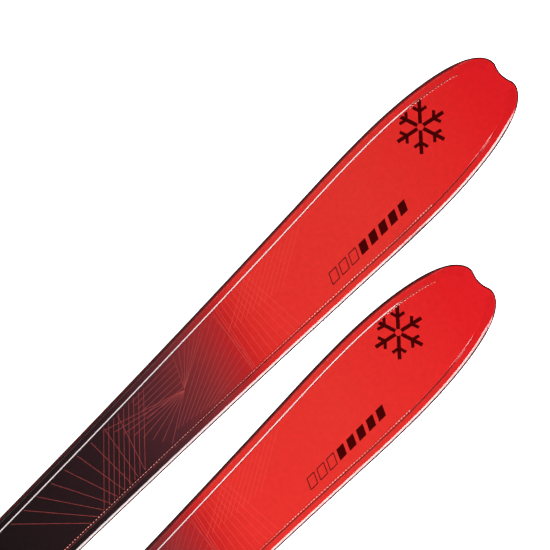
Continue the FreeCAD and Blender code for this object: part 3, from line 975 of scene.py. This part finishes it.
mainChains = fanChains(lineArt["fans"])
for bound in lineArt["bounds"]:
    chain = []
    for a, b in zip(bound, bound[1:]):
        chain += layLine(a, b)[:-1]
    mainChains.append(chain + [bound[-1]])
faintChains = fanChains(lineArt["faintFans"])
for side in ("left", "right"):
    layRibbons(side + "_line_print", side, mainChains + mirroredTail(mainChains), lineArt["width"],
               lineArt["lift"], finishes["line"])
    layRibbons(side + "_faint_line_print", side, faintChains + mirroredTail(faintChains),
               lineArt["faintWidth"], lineArt["lift"] * 0.8, finishes["faintLine"])
print("line print laid:", len(mainChains) + len(faintChains), "lines twice on each ski")


# ---- plain slanted bars and a straight-armed snow crystal

barPrint = {
    "from": 0.168, "to": 0.2805, "low": -0.0318, "high": -0.0205, "pitch": 0.0145, "width": 0.0100,
    "slant": 0.0026, "outlined": 0.236, "line": 0.0012, "lift": 0.00003,
}
crystalPrint = {
    "centre": (0.1000, 0.0210), "reach": 0.0285, "stroke": 0.0040, "branchAt": 0.0165, "branch": 0.0085,
    "branchTurn": 58, "turn": 12, "limit": 0.0430, "lift": 0.00003,
}


def flatShape(name, side, polygons, lift, ink):
    # closed outlines cut into short strips so that they follow the curve of the tip
    mesh = bpy.data.meshes.new(name)
    work = bmesh.new()
    for polygon in polygons:
        corners = [work.verts.new((u, y, 0)) for u, y in polygon]
        work.faces.new(corners)
    step = 0.004
    edgesU = [v.co.x for v in work.verts]
    at = math.floor(min(edgesU) / step) * step
    while at < max(edgesU):
        bmesh.ops.bisect_plane(work, geom=work.verts[:] + work.edges[:] + work.faces[:],
                               plane_co=(at, 0, 0), plane_no=(1, 0, 0), dist=1e-7)
        at += step
    for vert in work.verts:
        u, y = vert.co.x, vert.co.y
        vert.co = (tipX[side] - u, centreY[side] + y, underTop(u, 0.0) + lift)
    work.to_mesh(mesh)
    work.free()
    mesh.materials.append(ink)
    piece = bpy.data.objects.new(name, mesh)
    bpy.context.scene.collection.objects.link(piece)
    addAlongMap(piece, side)
    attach(piece, bodies[side])
    return piece


def strokePolygon(a, b, width):
    du, dy = b[0] - a[0], b[1] - a[1]
    size = math.hypot(du, dy)
    nu, ny = -dy / size * width / 2, du / size * width / 2
    return [(a[0] + nu, a[1] + ny), (b[0] + nu, b[1] + ny), (b[0] - nu, b[1] - ny), (a[0] - nu, a[1] - ny)]


def clipHigh(polygon, limit):
    # the part of a polygon with y below the limit
    kept = []
    for a, b in zip(polygon, polygon[1:] + polygon[:1]):
        if a[1] <= limit:
            kept.append(a)
        if (a[1] <= limit) != (b[1] <= limit):
            t = (limit - a[1]) / (b[1] - a[1])
            kept.append((a[0] + (b[0] - a[0]) * t, limit))
    return kept


def barPolygons():
    solid, outlined = [], []
    at = barPrint["from"]
    while at + barPrint["width"] <= barPrint["to"] + 1e-6:
        low, high, slant = barPrint["low"], barPrint["high"], barPrint["slant"]
        corners = [(at + slant, low), (at + barPrint["width"] + slant, low),
                   (at + barPrint["width"] - slant, high), (at - slant, high)]
        if at < barPrint["outlined"]:
            solid.append(corners)
        else:
            outlined.append(corners)
        at += barPrint["pitch"]
    return solid, outlined


def outlineStrokes(corners, width):
    return [strokePolygon(a, b, width) for a, b in zip(corners, corners[1:] + corners[:1])]


def crystalPolygons():
    cu, cy = crystalPrint["centre"]
    strokes = []
    for arm in range(6):
        angle = math.radians(crystalPrint["turn"] + 60 * arm)
        reachTo = lambda r, a: (cu + r * math.cos(a), cy + r * math.sin(a))
        strokes.append(strokePolygon(reachTo(0.0035, angle), reachTo(crystalPrint["reach"], angle),
                                     crystalPrint["stroke"]))
        for way in (-1, 1):
            foot = reachTo(crystalPrint["branchAt"], angle)
            turn = angle + way * math.radians(crystalPrint["branchTurn"])
            end = (foot[0] + crystalPrint["branch"] * math.cos(turn),
                   foot[1] + crystalPrint["branch"] * math.sin(turn))
            strokes.append(strokePolygon(foot, end, crystalPrint["stroke"] * 0.85))
    clipped = [clipHigh(stroke, crystalPrint["limit"]) for stroke in strokes]
    return [stroke for stroke in clipped if len(stroke) > 2]


solidBars, outlinedBars = barPolygons()
for side in ("left", "right"):
    flatShape(side + "_bars", side, solidBars, barPrint["lift"], finishes["mark"])
    rims = [stroke for corners in outlinedBars for stroke in outlineStrokes(corners, barPrint["line"])]
    flatShape(side + "_open_bars", side, rims, barPrint["lift"], finishes["outlineInk"])
    flatShape(side + "_snow_crystal", side, crystalPolygons(), crystalPrint["lift"], finishes["mark"])
print("bars and crystals laid")


# ---- moulded beads along the grooves, repeated by Geometry Nodes; their pale pink colour is a painted highlight

beadRow = {
    "pitch": 0.0038, "inset": 0.0119, "size": (0.0013, 0.00090, 0.00042), "deep": 0.00004,
    "spans": {-1: (0.150, 1.600), 1: (0.034, 0.096)},
}


def beadTree():
    tree = bpy.data.node_groups.new("beads on a path", "GeometryNodeTree")
    face = tree.interface
    face.new_socket("Paths", in_out="INPUT", socket_type="NodeSocketGeometry")
    pitch = face.new_socket("Bead Pitch", in_out="INPUT", socket_type="NodeSocketFloat")
    size = face.new_socket("Bead Size", in_out="INPUT", socket_type="NodeSocketVector")
    finish = face.new_socket("Finish", in_out="INPUT", socket_type="NodeSocketMaterial")
    face.new_socket("Beads", in_out="OUTPUT", socket_type="NodeSocketGeometry")
    start = node(tree, "NodeGroupInput")
    paths = node(tree, "GeometryNodeMeshToCurve", {"Mesh": start.outputs["Paths"]})
    spaced = node(tree, "GeometryNodeCurveToPoints", {"Curve": paths.outputs["Curve"],
                                                       "Length": start.outputs["Bead Pitch"]}, mode="LENGTH")
    bead = node(tree, "GeometryNodeMeshUVSphere", {"Segments": 8, "Rings": 5, "Radius": 1.0})
    turn = node(tree, "FunctionNodeAlignRotationToVector", {"Vector": spaced.outputs["Tangent"]}, axis="X")
    placed = node(tree, "GeometryNodeInstanceOnPoints", {
        "Points": spaced.outputs["Points"], "Instance": bead.outputs["Mesh"],
        "Rotation": turn.outputs["Rotation"], "Scale": start.outputs["Bead Size"]})
    real = node(tree, "GeometryNodeRealizeInstances", {"Geometry": placed.outputs["Instances"]})
    rounded = node(tree, "GeometryNodeSetShadeSmooth", {"Geometry": real.outputs["Geometry"]})
    painted = node(tree, "GeometryNodeSetMaterial", {"Geometry": rounded.outputs["Geometry"],
                                                      "Material": start.outputs["Finish"]})
    end = node(tree, "NodeGroupOutput")
    tree.links.new(painted.outputs["Geometry"], end.inputs["Beads"])
    return tree, {"Bead Pitch": pitch.identifier, "Bead Size": size.identifier, "Finish": finish.identifier}


for side in ("left", "right"):
    chains = []
    for hand, (first, last) in beadRow["spans"].items():
        chain = []
        for row in stationList():
            u, y = stationPoint(row, beadRow["inset"])
            if first <= u <= last:
                chain.append((u, y * hand))
        chains.append(chain)
    host = pathHost(side + "_beads", side, chains, -beadRow["deep"])
    tree, ids = beadTree()
    applyNodes(host, tree, {ids["Bead Pitch"]: beadRow["pitch"], ids["Bead Size"]: beadRow["size"],
                            ids["Finish"]: finishes["bead"]})
    mesh = host.data
    uvLayer = mesh.uv_layers.get("along") or mesh.uv_layers.new(name="along")
    for loop in mesh.loops:
        place = mesh.vertices[loop.vertex_index].co
        uvLayer.data[loop.index].uv = (tipX[side] - place.x, place.y - centreY[side])
    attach(host, bodies[side])
print("beads laid")


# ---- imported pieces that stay

stays = {
    "running_base": "base", "lower_laminate": "laminate", "tip_spacer": "spacer", "tail_spacer": "spacer",
    "tail_protector": "alloy", "front_honeycomb": "honeycomb", "rear_honeycomb": "honeycomb",
    "binding_block": "blockWood", "binding_plate": "alloy",
}
objectFinishes = {
    "alloy": makePlainMaterial("brushed alloy plate", (150, 152, 156), 0.34, 1.0, scale=1800.0,
                               stretch=(1, 0.05, 1), vary=0.16, deep=0.00001, coordinates="Object"),
    "laminate": makePlainMaterial("lower glass laminate", (40, 12, 14), 0.5, scale=900.0,
                                  stretch=(0.1, 1, 1), coordinates="Object"),
}
for name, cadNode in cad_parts.items():
    part = name.split("_", 1)[1]
    if part in stays:
        key = stays[part]
    elif part.endswith("stringer"):
        key = "wood"
    else:
        continue
    finish = objectFinishes.get(key, finishes[key])
    if not cadNode.material_slots:
        cadNode.data.materials.append(finish)
    for slotItem in cadNode.material_slots:
        slotItem.material = finish
print("packed pieces dressed")


# ---- studio

def makeFloor():
    mesh = bpy.data.meshes.new("floor")
    half = studio["floorHalf"]
    corners = [(-half, -half, 0), (half, -half, 0), (half, half, 0), (-half, half, 0)]
    mesh.from_pydata(corners, [], [(0, 1, 2, 3)])
    floor = bpy.data.objects.new("floor", mesh)
    bpy.context.scene.collection.objects.link(floor)
    mat, _, shader = newMaterial("pale floor", (0.86, 0.86, 0.86), 0.8)
    shader.inputs["Emission Color"].default_value = (1, 1, 1, 1)
    shader.inputs["Emission Strength"].default_value = studio["floorGlow"]
    mesh.materials.append(mat)
    return floor


def areaLight(name, place, target, size, power):
    light = bpy.data.lights.new(name, "AREA")
    light.shape = "RECTANGLE"
    light.size, light.size_y = size
    light.energy = power
    lamp = bpy.data.objects.new(name, light)
    lamp.location = place
    lamp.rotation_euler = (Vector(target) - Vector(place)).to_track_quat("-Z", "Y").to_euler()
    lamp.visible_camera = False
    bpy.context.scene.collection.objects.link(lamp)
    return lamp


makeFloor()
centre = studio["middle"]
areaLight("key strip", (centre[0] - 0.3, -studio["keyAway"], studio["keyHeight"]), centre,
          studio["keySize"], studio["keyPower"])
areaLight("tip strip", (-1.5, -2.6, 0.62), (0.85, -0.05, 0.04), (2.4, 0.6), studio["tipPower"])
areaLight("far fill", (centre[0], 1.35, 2.6), centre, (4.0, 0.5), studio["farPower"])
areaLight("low fill", (centre[0] - 4.2, 0.0, 1.3), (0.8, 0.0, 0.03), (2.4, 0.7), studio["lowPower"])
areaLight("end fill", (centre[0] + 2.6, 0.2, 2.0), centre, (studio["endSize"], studio["endSize"]),
          studio["endPower"])

world = bpy.data.worlds.new("studio")
world.use_nodes = True
world.node_tree.nodes["Background"].inputs["Color"].default_value = (1, 1, 1, 1)
world.node_tree.nodes["Background"].inputs["Strength"].default_value = studio["world"]
bpy.context.scene.world = world
bpy.context.scene.view_settings.view_transform = "Standard"
bpy.context.scene.view_settings.look = "None"

cameraSpot = {"over": (0.6162, 0.0870), "height": 4.0, "turn": -44.875, "lens": 248.0}
cameraData = bpy.data.cameras.new("camera")
cameraData.lens = cameraSpot["lens"]
cameraData.sensor_width = 36.0
camera = bpy.data.objects.new("camera", cameraData)
camera.location = (*cameraSpot["over"], cameraSpot["height"])
camera.rotation_euler = (0, 0, math.radians(cameraSpot["turn"]))
bpy.context.scene.collection.objects.link(camera)
bpy.context.scene.camera = camera
print("studio ready")
